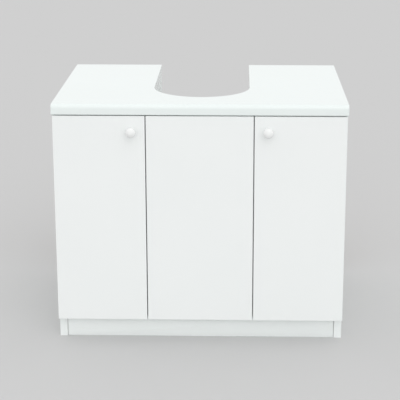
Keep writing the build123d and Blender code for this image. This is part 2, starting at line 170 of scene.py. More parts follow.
def coverCore(tree, shader, where, look, face, core, dull):
    # chipboard where core is 1 and the facing elsewhere, in colour, relief and roughness
    raw, shade = chipboardColour(tree, where)
    grain = noiseAt(tree, where, look["grain"], look["grainDetail"], look["grainRoughness"])
    height = between(tree, core, times(tree, grain, look["bump"]), times(tree, shade, chipboard["depth"]))
    smear = noiseAt(tree, where, look["smear"], look["smearDetail"])
    polish = ramp(tree, smear, *look["smearTones"], look["roughness"], look["roughness2"])
    tree.links.new(mixed(tree, core, face, raw), shader.inputs["Base Color"])
    tree.links.new(between(tree, dull, polish, chipboard["roughness"]), shader.inputs["Roughness"])
    shader.inputs["IOR"].default_value = look["ior"]
    bumpFrom(tree, shader, height, 1.0, look["bumpStrength"])


def boardMaterial(name, node, axis, look, bandedAt=()):
    # A faced board. axis is the one through its thickness. A band covers the edges listed as (axis, side).
    low, high = place(node)
    material, tree, shader, where = startMaterial(name)
    split = addNode(tree, "ShaderNodeSeparateXYZ", in0=where).outputs
    middle, half = float(low[axis] + high[axis]) / 2, float(high[axis] - low[axis]) / 2
    fromMiddle = apart(tree, split[axis], middle)
    edge = half - look["skin"]
    core = ramp(tree, fromMiddle, edge - chipboard["fade"], edge, 1.0, 0.0)
    for bandAxis, side in bandedAt:
        end = float(high[bandAxis] if side > 0 else low[bandAxis])
        away = apart(tree, split[bandAxis], end)
        core = times(tree, core, ramp(tree, away, look["band"], look["band"] + chipboard["fade"]))
    face = faceColour(tree, where, look, fromMiddle, half)
    coverCore(tree, shader, where, look, face, core, core)
    dress(node, material)
    return material


frontLook = {
    "colour": (0.862, 0.884, 0.878), "colour2": (0.852, 0.876, 0.870), "tones": (0.3, 0.7),
    "cloud": 6.0, "cloudDetail": 2.0, "smear": 14.0, "smearDetail": 3.0, "smearTones": (0.3, 0.75),
    "skin": 0.45 * mm, "band": 0.9 * mm,
    "jointIn": 1.1 * mm, "jointLine": (0.05 * mm, 0.16 * mm), "joint": 0.35, "jointColour": (0.55, 0.54, 0.50),
    "grain": 900.0, "grainDetail": 2.0, "grainRoughness": 0.55, "bump": 0.010 * mm, "bumpStrength": 0.5,
    "roughness": 0.30, "roughness2": 0.36, "ior": 1.46,
}
melamineLook = dict(
    frontLook, colour=(0.860, 0.892, 0.882), colour2=(0.850, 0.884, 0.874), grain=2600.0, grainDetail=3.0,
    bump=0.030 * mm, roughness=0.42, roughness2=0.50, band=0.6 * mm)
topLook = dict(
    frontLook, colour=(0.806, 0.858, 0.846), colour2=(0.800, 0.853, 0.840), grain=260.0, grainDetail=1.5,
    grainRoughness=0.5, bump=0.012 * mm, roughness=0.10, roughness2=0.16, ior=1.44, skin=0.6 * mm,
    jointIn=1.0 * mm, joint=0.28, rearEdge=(0.3 * mm, 0.2 * mm), noseBack=(9 * mm, 10 * mm),
    underside=(0.1 * mm, 0.3 * mm), underDull=0.5)

frontBack, allRound = ((1, -1),), ((0, 1), (0, -1), (2, 1), (2, -1))
for side, sign in sides:
    boardMaterial(side + "DoorLaminate", side + "_door_panel", 1, frontLook, allRound)
    boardMaterial(side + "SideMelamine", side + "_side_panel", 0, melamineLook, frontBack)
    boardMaterial(side + "PartitionMelamine", side + "_partition", 0, melamineLook, frontBack)
    boardMaterial(side + "ShelfMelamine", side + "_shelf", 2, melamineLook, frontBack)
boardMaterial("middleFrontLaminate", "centre_front_panel", 1, frontLook, allRound)
boardMaterial("bottomMelamine", "bottom_panel", 2, melamineLook, frontBack)
plinthMelamine = boardMaterial("plinthMelamine", "plinth_board", 1, melamineLook)
print("boards faced")


def topMaterial():
    # Laminate rolled over the nose and round the sides and the cut-out; the rear edge is raw chipboard.
    look = topLook
    low, high = place("top_panel")
    material, tree, shader, where = startMaterial("glossTopLaminate")
    split = addNode(tree, "ShaderNodeSeparateXYZ", in0=where).outputs
    middle, half = float(low[2] + high[2]) / 2, float(high[2] - low[2]) / 2
    fromMiddle = apart(tree, split[2], middle)
    edge = half - look["skin"]
    rear = ramp(tree, split[1], *(float(high[1]) - inward for inward in look["rearEdge"]))
    core = times(tree, rear, ramp(tree, fromMiddle, edge - chipboard["fade"], edge, 1.0, 0.0))
    behindNose = ramp(tree, split[1], *(float(low[1]) + inward for inward in look["noseBack"]))
    face = faceColour(tree, where, look, fromMiddle, half, behindNose)
    under = ramp(tree, split[2], *(float(low[2]) + above for above in look["underside"]), 1.0, 0.0)
    dull = sums(tree, "MAXIMUM", core, times(tree, under, look["underDull"]))
    coverCore(tree, shader, where, look, face, core, dull)
    dress("top_panel", material)


topMaterial()
print("top faced")

hardboardLook = {
    "brown": (0.29, 0.175, 0.095), "brown2": (0.21, 0.12, 0.062), "tones": (0.35, 0.75),
    "white": (0.80, 0.81, 0.80),
    "screen": 900.0, "fibres": 700.0, "clumps": 190.0, "blotches": 14.0,  # all per metre
    "fibreShare": 0.45, "clumpShare": 0.35, "blotchShare": 0.30, "screenShare": 0.35,
    "lacquer": (0.1 * mm, 0.3 * mm), "lacquerRelief": 0.12,
    "depth": 0.12 * mm, "bumpStrength": 0.7, "roughness": 0.8,
}


def hardboardMaterial(side):
    # White lacquer inside, and outside the imprint of the press's wire screen: sine across times sine up.
    look, node = hardboardLook, side + "_back_panel"
    low, high = place(node)
    material, tree, shader, where = startMaterial(side + "Hardboard")
    split = addNode(tree, "ShaderNodeSeparateXYZ", in0=where).outputs
    inner = ramp(tree, split[1], *(float(low[1]) + depth for depth in look["lacquer"]), 1.0, 0.0)
    across, up = (sums(tree, "SINE", times(tree, split[axis], look["screen"] * 2 * math.pi)) for axis in (0, 2))
    fibres = noiseAt(tree, where, look["fibres"], 5.0, 0.7)
    clumps = noiseAt(tree, where, look["clumps"], 3.0, 0.65)
    blotches = noiseAt(tree, where, look["blotches"], 4.0, 0.6)
    tone = sums(tree, "MULTIPLY_ADD", fibres, look["fibreShare"], times(tree, blotches, look["blotchShare"]))
    tone = ramp(tree, sums(tree, "MULTIPLY_ADD", clumps, look["clumpShare"], tone), *look["tones"])
    brown = mixed(tree, tone, rgb(look["brown2"]), rgb(look["brown"]))
    height = sums(tree, "MULTIPLY_ADD", times(tree, across, up), look["screenShare"], fibres)
    height = times(tree, height, ramp(tree, inner, 0.0, 1.0, 1.0, look["lacquerRelief"]))
    tree.links.new(mixed(tree, inner, brown, rgb(look["white"])), shader.inputs["Base Color"])
    shader.inputs["Roughness"].default_value = look["roughness"]
    bumpFrom(tree, shader, height, look["depth"], look["bumpStrength"])
    dress(node, material)


for side, sign in sides:
    hardboardMaterial(side)
print("backs done")

metals = {
    "nickelPlate": {"colour": (0.66, 0.65, 0.62), "roughness": (0.38, 0.24), "brush": (1.0, 1.0, 9.0)},
    "brightZinc": {"colour": (0.62, 0.63, 0.65), "roughness": (0.45, 0.28), "brush": None},
    "castZinc": {"colour": (0.46, 0.46, 0.47), "roughness": (0.60, 0.42), "brush": None},
}
metalGrain = {"streaks": 900.0, "stains": 120.0, "dim": 0.82, "tones": (0.3, 0.7), "depth": 0.02 * mm, "bump": 0.6}


def metalMaterial(name):
    look, grain = metals[name], metalGrain
    material, tree, shader, where = startMaterial(name)
    streaks = noiseAt(tree, where, grain["streaks"], 3.0, 0.6, look["brush"])
    stains = noiseAt(tree, where, grain["stains"])
    tone = sums(tree, "MULTIPLY_ADD", streaks, 0.5, times(tree, stains, 0.5))
    dim = tuple(value * grain["dim"] for value in look["colour"])
    colour = mixed(tree, ramp(tree, tone, *grain["tones"]), rgb(dim), rgb(look["colour"]))
    tree.links.new(colour, shader.inputs["Base Color"])
    tree.links.new(ramp(tree, tone, *grain["tones"], *look["roughness"]), shader.inputs["Roughness"])
    shader.inputs["Metallic"].default_value = 1.0
    bumpFrom(tree, shader, streaks, grain["depth"], grain["bump"])
    return material


plastics = {
    "glossKnobWhite": {"colour": (0.85, 0.86, 0.855), "roughness": 0.14, "grain": 300.0, "depth": 0.01 * mm},
    "mattBlockWhite": {"colour": (0.78, 0.78, 0.76), "roughness": 0.45, "grain": 1800.0, "depth": 0.05 * mm},
}
plasticFlow = {"scale": 60.0, "paler": 1.02, "darker": 0.985, "tones": (0.3, 0.7), "rougher": 1.25, "bump": 0.5}


def plasticMaterial(name):
    # a moulding: broad flow marks in tone and gloss, and a fine grain
    look, flow = plastics[name], plasticFlow
    material, tree, shader, where = startMaterial(name)
    fine = noiseAt(tree, where, look["grain"])
    broad = noiseAt(tree, where, flow["scale"], 2.0)
    paler = tuple(min(1.0, value * flow["paler"]) for value in look["colour"])
    darker = tuple(value * flow["darker"] for value in look["colour"])
    rough = ramp(tree, broad, *flow["tones"], look["roughness"], look["roughness"] * flow["rougher"])
    tree.links.new(mixed(tree, broad, rgb(darker), rgb(paler)), shader.inputs["Base Color"])
    tree.links.new(rough, shader.inputs["Roughness"])
    bumpFrom(tree, shader, fine, look["depth"], flow["bump"])
    return material


beechLook = {
    "dark": (0.50, 0.33, 0.19), "pale": (0.66, 0.48, 0.31), "tones": (0.3, 0.7),
    "rings": 400.0, "along": (1.0, 1.0, 0.15), "roughness": 0.6, "depth": 0.1 * mm, "bump": 0.6,
}


def beechMaterial():
    look = beechLook
    material, tree, shader, where = startMaterial("beech")
    rings = noiseAt(tree, where, look["rings"], 4.0, 0.6, look["along"])
    colour = mixed(tree, ramp(tree, rings, *look["tones"]), rgb(look["dark"]), rgb(look["pale"]))
    tree.links.new(colour, shader.inputs["Base Color"])
    shader.inputs["Roughness"].default_value = look["roughness"]
    bumpFrom(tree, shader, rings, look["depth"], look["bump"])
    return material


bumperLook = {
    "clear": (0.86, 0.89, 0.90), "hazy": (0.95, 0.96, 0.96), "haze": 800.0, "tones": (0.3, 0.7),
    "roughness": (0.10, 0.22), "transmission": 0.75, "ior": 1.45,
    "power": 0.8, "rings": 14, "columns": 40,
}


def bumperMaterial():
    look = bumperLook
    material, tree, shader, where = startMaterial("clearBumper")
    haze = noiseAt(tree, where, look["haze"], 2.0)
    tree.links.new(mixed(tree, haze, rgb(look["clear"]), rgb(look["hazy"])), shader.inputs["Base Color"])
    tree.links.new(ramp(tree, haze, *look["tones"], *look["roughness"]), shader.inputs["Roughness"])
    shader.inputs["Transmission Weight"].default_value = look["transmission"]
    shader.inputs["IOR"].default_value = look["ior"]
    return material


nickel, zinc, cast = (metalMaterial(name) for name in metals)
glossWhite, mattWhite = (plasticMaterial(name) for name in plastics)
bumper = bumperMaterial()
finishOf = {"zinc_steel": zinc, "zinc_alloy": cast, "beech": beechMaterial(), "white_plastic": mattWhite,
            "nickel_steel": nickel, "knob_white": glossWhite, "clear_bumper": bumper}
for part in frame["record"]["subparts"]:
    if part["material_slot"] in finishOf:
        dress(part["node"], finishOf[part["material_slot"]])
print("fittings finished")

bodyOf = {node: body for body, held in frame["record"]["behaviour"]["bodies"].items() for node in held}
weldWithin = 0.001 * mm
endSlice = 0.05 * mm  # points this near a turned solid's end belong to it


def gridFaces(rows, columns, closedRows=False):
    # quads between neighbouring rows; the columns always close on themselves
    row = np.arange(rows if closedRows else rows - 1)[:, None]
    column = np.arange(columns)[None, :]
    after, beside = ((row + 1) % rows) * columns, (column + 1) % columns
    corners = (row * columns + column, row * columns + beside, after + beside, after + column)
    return np.stack(np.broadcast_arrays(*corners), -1).reshape(-1, 4)


def carried(rows):
    # rows of a closed outline joined to one shell, with a flat cap at each end
    count, across = rows.shape[:2]
    caps = [list(range(across)), list(range((count - 1) * across, count * across))]
    return rows.reshape(-1, 3), gridFaces(count, across), caps


def polarAngles(columns):
    return np.linspace(0, 2 * math.pi, columns, endpoint=False)


def acrossFrom(direction):
    # two unit vectors square to a direction, and the direction
    along = np.array(direction, float)
    upright = abs(along[2]) < 0.9
    first = np.cross((0.0, 0.0, 1.0) if upright else (1.0, 0.0, 0.0), along)
    first /= np.linalg.norm(first)
    return first, np.cross(along, first), along


def swung(along, radius, origin, direction, closedRows=False):
    # point = origin + along * direction + radius * (cos a * first + sin a * second); both are rows by columns
    first, second, axis = acrossFrom(direction)
    angle = polarAngles(radius.shape[1])
    ring = np.cos(angle)[:, None] * first + np.sin(angle)[:, None] * second
    points = np.asarray(origin) + along[..., None] * axis + radius[..., None] * ring
    return points.reshape(-1, 3), gridFaces(*radius.shape, closedRows), []


def lathe(profile, origin, direction, columns=64, closedRows=False):
    # a profile of (along, radius) swung round an axis
    profile = np.asarray(profile, float)
    wide = np.ones((1, columns))
    return swung(profile[:, :1] * wide, profile[:, 1:] * wide, origin, direction, closedRows)


def eased(corners, radius, steps=5, closed=False):
    # corners of a line become curves: (1-t)^2 before + 2t(1-t) corner + t^2 after
    points = np.asarray(corners, float)
    middle = points if closed else points[1:-1]
    back = (np.roll(points, 1, 0) if closed else points[:-2]) - middle
    ahead = (np.roll(points, -1, 0) if closed else points[2:]) - middle
    ends = []
    for leg in (back, ahead):
        length = np.linalg.norm(leg, axis=1)[:, None]
        ends.append(middle + leg * np.minimum(radius, 0.45 * length) / length)
    t = np.linspace(0, 1, steps)[None, :, None]
    curves = (1 - t) ** 2 * ends[0][:, None] + 2 * t * (1 - t) * middle[:, None] + t ** 2 * ends[1][:, None]
    curves = curves.reshape(-1, points.shape[1])
    return curves if closed else np.concatenate([points[:1], curves, points[-1:]])


def prism(loop, low, high, bevel, placed):
    # a plate: an outline carried from low to high, with both rims rounded over by a quarter circle
    before, after = np.roll(loop, 1, 0), np.roll(loop, -1, 0)
    area = np.sum(loop[:, 0] * after[:, 1] - after[:, 0] * loop[:, 1])
    tangent = after - before
    inward = np.stack([-tangent[:, 1], tangent[:, 0]], -1) * np.sign(area)
    inward /= np.linalg.norm(inward, axis=1)[:, None]
    turn = np.linspace(0, quarterTurn, 4)
    inset = bevel * np.concatenate([1 - np.sin(turn), 1 - np.cos(turn)])
    level = np.concatenate([low + bevel * (1 - np.cos(turn)), high - bevel * (1 - np.sin(turn))])
    flat = loop[None] + inward[None] * inset[:, None, None]
    return carried(placed(flat[..., 0], flat[..., 1], level[:, None] * np.ones((1, len(loop)))))


def finishPiece(name, node, shells, material, sharp=38.0):
    # shells joined into one object that stands for a CAD node, poles closed and faces outwards
    starts = np.cumsum([0] + [len(points) for points, quads, caps in shells])
    polygons = []
    for (points, quads, caps), start in zip(shells, starts):
        polygons += (quads + start).tolist()
        polygons += [[index + int(start) for index in cap] for cap in caps]
    mesh = bpy.data.meshes.new(name)
    mesh.from_pydata(np.concatenate([points for points, quads, caps in shells]).tolist(), [], polygons)
    work = bmesh.new()
    work.from_mesh(mesh)
    bmesh.ops.remove_doubles(work, verts=work.verts, dist=weldWithin)
    bmesh.ops.recalc_face_normals(work, faces=work.faces)
    work.to_mesh(mesh)
    work.free()
    mesh.shade_smooth()
    mesh.set_sharp_from_angle(angle=math.radians(sharp))
    mesh.materials.append(material)
    piece = bpy.data.objects.new(name, mesh)
    bpy.context.scene.collection.objects.link(piece)
    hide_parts(node)
    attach(piece, bodyOf[node])


def solidsOf(node, gap=0.2 * mm):
    # a node's separate solids, as triangle corners: they are parted wherever an empty slice lies between them
    mesh = nodes[node].data
    mesh.calc_loop_triangles()
    places = np.empty(len(mesh.vertices) * 3)
    mesh.vertices.foreach_get("co", places)
    corners = np.empty(len(mesh.loop_triangles) * 3, dtype=int)
    mesh.loop_triangles.foreach_get("vertices", corners)
    waiting, found = [places.reshape(-1, 3)[corners.reshape(-1, 3)]], []
    while waiting:
        group = waiting.pop()
        for axis in range(3):
            low, high = group[:, :, axis].min(1), group[:, :, axis].max(1)
            order = np.argsort(low, kind="stable")
            reach = np.maximum.accumulate(high[order])
            breaks = np.nonzero(low[order][1:] > reach[:-1] + gap)[0] + 1
            if len(breaks):
                waiting += np.split(group[order], breaks)
                break
        else:
            found.append(group.reshape(-1, 3))
    return sorted(found, key=lambda points: tuple(np.round(points.mean(0)[::-1], 4)))


def turnedSize(points):
    # a turned solid's axis, ends and radii, read from its own points; it is taken from its thick end
    low, high = points.min(0), points.max(0)
    axis = int(np.argmax(high - low))
    centre = (low + high) / 2
    radius = np.linalg.norm(np.delete(points - centre, axis, 1), axis=1)
    ends = [radius[np.abs(points[:, axis] - end[axis]) < endSlice].max() for end in (low, high)]
    sign = 1 if ends[0] > ends[1] else -1
    origin, direction = centre.copy(), np.zeros(3)
    origin[axis] = (low if sign > 0 else high)[axis]
    direction[axis] = sign
    along = (points[:, axis] - origin[axis]) * sign
    widest = along[radius > 0.95 * radius.max()]
    return {
        "origin": origin, "direction": direction, "length": float(along.max()), "head": float(radius.max()),
        "headFrom": float(widest.min()), "headTo": float(widest.max()),
        "start": float(radius[along < endSlice].max()), "shank": float(min(ends)),
    }


plinthLook = {"joint": 0.6 * mm, "corner": 0.5 * mm, "rim": 0.4 * mm}


def makePlinth():
    # a board carried from its front to its back, a little short of the side panels so that the joints show
    look = plinthLook
    low, high = place("plinth_board")
    left, right = low[0] + look["joint"], high[0] - look["joint"]
    corners = [(left, low[2]), (right, low[2]), (right, high[2]), (left, high[2])]
    outline = eased(corners, look["corner"], 4, closed=True)

    def placed(x, z, y):
        return np.stack(np.broadcast_arrays(x, y, z), -1)

    board = prism(outline, low[1], high[1], look["rim"], placed)
    finishPiece("plinthBoard", "plinth_board", [board], plinthMelamine)


makePlinth()
print("plinth made")

screwLook = {
    "columns": 48, "rings": 20,
    "dome": 0.42, "domePower": 2.4, "edge": ((1.0, 0.42), (1.0, 0.12), (0.97, 0.0)), "under": 0.7,
    "slot": 0.17, "slotTaper": 0.35, "slotFlank": 0.05, "slotReach": 0.62, "slotEnd": 0.08,
    "slotDepth": 0.62, "slotRise": 0.45,
    "threadColumns": 20, "threadSteps": 5, "core": 0.72, "ridgePower": 1.6, "point": 2.2, "pointPower": 0.6,
}


def screwHead(size):
    # height = dome - recess, where the recess is a cross that narrows outwards and deepens inwards
    look, head, tall = screwLook, size["head"], size["headTo"] - size["headFrom"]
    angle = polarAngles(look["columns"])[None, :]
    spread = np.linspace(0, 1, look["rings"])[:, None]
    x, y = spread * np.cos(angle), spread * np.sin(angle)
    thin, far = np.minimum(abs(x), abs(y)), np.maximum(abs(x), abs(y))
    width = look["slot"] * (1 - look["slotTaper"] * far / look["slotReach"])
    cut = np.clip((width - thin) / look["slotFlank"], 0, 1)
    cut = cut * np.clip((look["slotReach"] - far) / look["slotEnd"], 0, 1)
    cut = cut * (1 - look["slotRise"] * far / look["slotReach"])
    dome = tall * (1 - look["dome"] * spread ** look["domePower"]) - look["slotDepth"] * tall * cut
    rim = np.array([*look["edge"], (size["shank"] / head * look["under"], 0.0), (0.0, 0.0)])
    wide = np.ones((1, look["columns"]))
    level = np.concatenate([dome, rim[:, 1:] * tall * wide])
    radius = np.concatenate([spread * wide, rim[:, :1] * wide]) * head
    return -level, radius


def screwThread(size, pitch):
    # radius = core + ridge(along / pitch - angle / turn), drawn in to a point over the last turns
    look, long = screwLook, size["length"] - size["headTo"]
    turns = long / pitch
    along = np.linspace(0, 1, max(6, int(turns * look["threadSteps"])))[:, None]
    way = along * turns - polarAngles(look["threadColumns"])[None, :] / (2 * math.pi)
    ridge = (1 - 2 * abs(way % 1 - 0.5)) ** look["ridgePower"] * np.clip(along * turns, 0, 1)
    slim = np.clip((1 - along) * turns / look["point"], 0, 1) ** look["pointPower"]
    body = size["shank"] * (look["core"] + (1 - look["core"]) * ridge) * slim
    pole = np.zeros((1, look["threadColumns"]))
    return np.concatenate([pole, along * long + pole, pole + long]), np.concatenate([pole, body, pole])


def makeScrews(name, node, pitch):
    shells = []
    for points in solidsOf(node):
        size = turnedSize(points)
        seat = size["origin"] + size["direction"] * size["headTo"]
        for level, radius in (screwHead(size), screwThread(size, pitch)):
            shells.append(swung(level, radius, seat, size["direction"]))
    finishPiece(name, node, shells, zinc)


makeScrews("blockScrews", "corner_block_screws", 1.6 * mm)
makeScrews("armScrews", "hinge_arm_screws", 1.0 * mm)
makeScrews("plateScrews", "hinge_plate_screws", 2.4 * mm)
for side, sign in sides:
    makeScrews(side + "CupScrews", side + "_hinge_cup_screws", 1.6 * mm)
    makeScrews(side + "KnobScrew", side + "_knob_screw", 0.7 * mm)

nailLook = {"dome": 0.45, "rings": 6, "rim": 0.8, "under": 0.9, "point": 2.5 * mm, "columns": 24}


def makeNails():
    # a low domed head (along = dome * s^2, radius = head * sin s), a plain shank and a drawn point
    look, shells = nailLook, []
    swell = np.linspace(0, 1, look["rings"])
    for points in solidsOf("back_panel_nails"):
        size = turnedSize(points)
        head, shank, tall, long = size["head"], size["shank"], size["headTo"], size["length"]
        dome = np.stack([tall * look["dome"] * swell ** 2, head * np.sin(swell * quarterTurn)], -1)
        rest = [(tall * look["rim"], head), (tall, head * look["under"]), (tall, shank),
                (long - look["point"], shank), (long, 0)]
        profile = np.concatenate([dome, rest])
        shells.append(lathe(profile, size["origin"], size["direction"], look["columns"]))
    finishPiece("backNails", "back_panel_nails", shells, zinc)


shelfPinLook = {"curve": 0.8 * mm, "steps": 6, "columns": 40}


def makeShelfPins():
    # round-ended peg, collar against the board and a shank in the hole
    look, shells = shelfPinLook, []
    for points in solidsOf("shelf_pins"):
        size = turnedSize(points)
        peg, collar, shank = size["start"], size["head"], size["shank"]
        start, end, long = size["headFrom"], size["headTo"], size["length"]
        corners = [(0, 0), (0, peg), (start, peg), (start, collar), (end, collar), (end, shank), (long, shank),
                   (long, 0)]
        profile = eased(corners, look["curve"], look["steps"])
        shells.append(lathe(profile, size["origin"], size["direction"], look["columns"]))
    finishPiece("shelfPins", "shelf_pins", shells, nickel)


pivotLook = {"head": 1.5, "crown": 0.7, "lip": 0.35 * mm, "curve": 0.3 * mm, "columns": 32}


def makePivotPins(name, node):
    # a pin peened over at both ends
    look, shells = pivotLook, []
    for points in solidsOf(node):
        low, high = points.min(0), points.max(0)
        radius, long = (high - low)[0] / 2, (high - low)[2]
        head = radius * look["head"]
        half = [(-look["lip"], 0), (-look["lip"], head * look["crown"]), (0, head), (0, radius),
                (long / 2, radius)]
        profile = eased(half + [(long - along, width) for along, width in half[-2::-1]], look["curve"], 4)
        foot = (*((low + high) / 2)[:2], low[2])
        shells.append(lathe(profile, foot, (0, 0, 1), look["columns"]))
    finishPiece(name, node, shells, zinc)


makeNails()
makeShelfPins()
for side, sign in sides:
    makePivotPins(side + "ArmPins", side + "_hinge_arm_pins")
    makePivotPins(side + "CupPins", side + "_hinge_cup_pins")
print("fasteners made")

knobLook = {
    "foot": 7.0 * mm, "footRim": 1.0 * mm, "footCurve": 0.35 * mm, "footStep": 0.4 * mm,
    "waist": 4.8 * mm, "waistAt": 6.2 * mm, "widest": 15.0 * mm, "neckPower": 2.2, "swellPower": 1.5,
    "neckRings": 14, "swellRings": 22, "capRings": 26, "columns": 96, "sharp": 50.0,
}


def makeKnob(side):
    # Neck: radius = waist + (foot - waist) * fall^2.2, then a sine swell to the rim; cap: quarter ellipse.
    node, look = side + "_knob", knobLook
    low, high = place(node)
    radius, tall = (high[0] - low[0]) / 2, high[1] - low[1]
    foot, rim, waist, waistAt, widest = (look[key] for key in ("foot", "footRim", "waist", "waistAt", "widest"))
    fall = np.linspace(1, 0, look["neckRings"])[:-1]
    neck = np.stack([rim + (waistAt - rim) * (1 - fall),
                     waist + (foot - look["footStep"] - waist) * fall ** look["neckPower"]], -1)
    rise = np.linspace(0, 1, look["swellRings"])[:-1]
    swell = np.stack([waistAt + (widest - waistAt) * rise,
                      waist + (radius - waist) * np.sin(rise * quarterTurn) ** look["swellPower"]], -1)
    turn = np.linspace(0, quarterTurn, look["capRings"])
    cap = np.stack([widest + (tall - widest) * np.sin(turn), radius * np.cos(turn)], -1)
    base = eased([(0, 0), (0, foot), (rim, foot), neck[0]], look["footCurve"], 4)
    profile = np.concatenate([base[:-1], neck, swell, cap])
    origin = ((low[0] + high[0]) / 2, high[1], (low[2] + high[2]) / 2)
    shell = lathe(profile, origin, (0, -1, 0), look["columns"])
    finishPiece(side + "Knob", node, [shell], glossWhite, look["sharp"])


def makeBumpers(side):
    # clear domes: along = height * cos^0.8, radius = foot * sin
    look, shells = bumperLook, []
    turn = np.linspace(quarterTurn, 0, look["rings"])
    for points in solidsOf(side + "_door_bumpers"):
        low, high = points.min(0), points.max(0)
        radius, tall = (high[0] - low[0]) / 2, high[1] - low[1]
        dome = np.stack([tall * np.maximum(np.cos(turn), 0) ** look["power"], radius * np.sin(turn)], -1)
        origin = ((low[0] + high[0]) / 2, low[1], (low[2] + high[2]) / 2)
        shells.append(lathe(np.concatenate([[(0, 0)], dome]), origin, (0, 1, 0), look["columns"]))
    finishPiece(side + "Bumpers", side + "_door_bumpers", shells, bumper, 60.0)


for side, sign in sides:
    makeKnob(side)
    makeBumpers(side)
print("knobs and bumpers made")

hinge = {"gauge": 1.2 * mm, "eye": 2.6 * mm, "linkHalf": 4.7 * mm}  # pressed sheet, eye radius, link's half height
sideLow, sideHigh = place("right_side_panel")
sideOuter, frontPlane = float(sideHigh[0]), float(sideLow[1])


def hingePlace(sign, low, high):
    # u inwards from the side panel's face, v forwards from the carcass, w up from the hinge's middle
    height = (low[2] + high[2]) / 2

    def placed(u, v, w):
        return np.stack(np.broadcast_arrays(sign * (sideOuter - u), frontPlane - v, height + w), -1)

    return placed


def pivotOf(joint):
    spot = next(each for each in frame["record"]["behaviour"]["joints"] if each["name"] == joint)["pos_m"]
    return np.array((sideOuter - abs(spot[0]), frontPlane - spot[1]))


armPivot, cupPivot = pivotOf("right_link_swing"), pivotOf("right_door_swing")


def outlineReach(inside, reach, columns):
    # how far an outline lies from its middle at each angle: the farthest of many steps that is still inside,
    # evened out with its two neighbours
    angle, step = polarAngles(columns)[:, None], np.linspace(0, reach, 800)[None, :]
    far = (step * inside(step * np.cos(angle), step * np.sin(angle))).max(1)
    return (np.roll(far, 1) + 2 * far + np.roll(far, -1)) / 4


def capsule(x, y, half, radius):
    return np.hypot(x, y - np.clip(y, -half, half)) < radius


cupLook = {
    "columns": 240, "flange": 0.8 * mm, "lip": 1.0 * mm, "wing": 12.0 * mm, "wingShift": 6.0 * mm,
    "play": 0.05 * mm, "mouth": 1.2 * mm, "bowlCurve": 1.4 * mm, "outerCurve": 1.2 * mm,
    "rim": ((-0.9, 0.0), (-0.35, 0.05), (0.0, 0.3)),  # (inwards, up) in mm, where the flange rolls over
    "rimTop": ((0.0, -0.1), (-0.15, 0.0)),
    "ear": 2.0 * mm, "earGap": 0.5 * mm, "earFore": 2.2 * mm, "earAft": 3.2 * mm, "earCurve": 1.9 * mm,
    "earRim": 0.3 * mm,
}


def cupShells(points, sign):
    # Polar surface: the radius runs from the bowl's circle to the outline of the winged flange and back.
    look = cupLook
    low, high = points.min(0), points.max(0)
    outerRadius, wingHalf = (high[0] - low[0]) / 2, (high[2] - low[2]) / 2
    centreU = sideOuter - abs((low[0] + high[0]) / 2)
    face, floor = frontPlane - high[1], frontPlane - low[1]
    bowl, wall, wing = outerRadius - look["lip"] - look["play"], hinge["gauge"], look["wing"] / 2

    def inside(x, y):
        return (np.hypot(x, y) < outerRadius) | capsule(x - look["wingShift"], y, wingHalf - wing, wing)

    reach = outlineReach(inside, wingHalf + 1 * mm, look["columns"])
    inner, top = bowl - wall, face + look["flange"]
    held = eased([(0, floor - wall), (inner, floor - wall), (inner, face), (inner + look["mouth"], face)],
                 look["bowlCurve"], 6)
    outside = eased([(bowl, top), (bowl, floor), (0, floor)], look["outerCurve"], 6)
    rows = [(radius, 0.0, depth) for radius, depth in held]
    rows += [(inwards * mm, 1.0, face + up * mm) for inwards, up in look["rim"]]
    rows += [(inwards * mm, 1.0, top + up * mm) for inwards, up in look["rimTop"]]
    rows += [(radius, 0.0, depth) for radius, depth in outside]
    rows = np.array(rows)
    radius = rows[:, :1] + rows[:, 1:2] * reach[None, :]
    angle = polarAngles(len(reach))[None, :]
    placed = hingePlace(sign, low, high)
    grid = placed(centreU + radius * np.cos(angle), rows[:, 2:] + 0 * radius, radius * np.sin(angle))
    shells = [(grid.reshape(-1, 3), gridFaces(*radius.shape), [])]
    # two ears in the bowl hold the pin
    pinU, pinV = cupPivot
    fore, aft, tip = pinU + look["earFore"], pinU - look["earAft"], pinV - look["earFore"]
    corners = [(fore, tip), (aft, tip), (aft, floor - wall), (fore, floor - wall)]
    ear = eased(corners, look["earCurve"], 6, closed=True)
    start = hinge["linkHalf"] + look["earGap"]
    for base in (start, -start - look["ear"]):
        shells.append(prism(ear, base, base + look["ear"], look["earRim"], placed))
    return shells


linkLook = {
    "peak": (23.2 * mm, 10.7 * mm), "strap": 2.34 * mm, "waist": 0.9 * mm, "steps": 26, "overlap": 0.6,
    "corner": 0.35, "bore": 1.3 * mm, "eyeCurve": 0.4 * mm, "columns": 40,
}


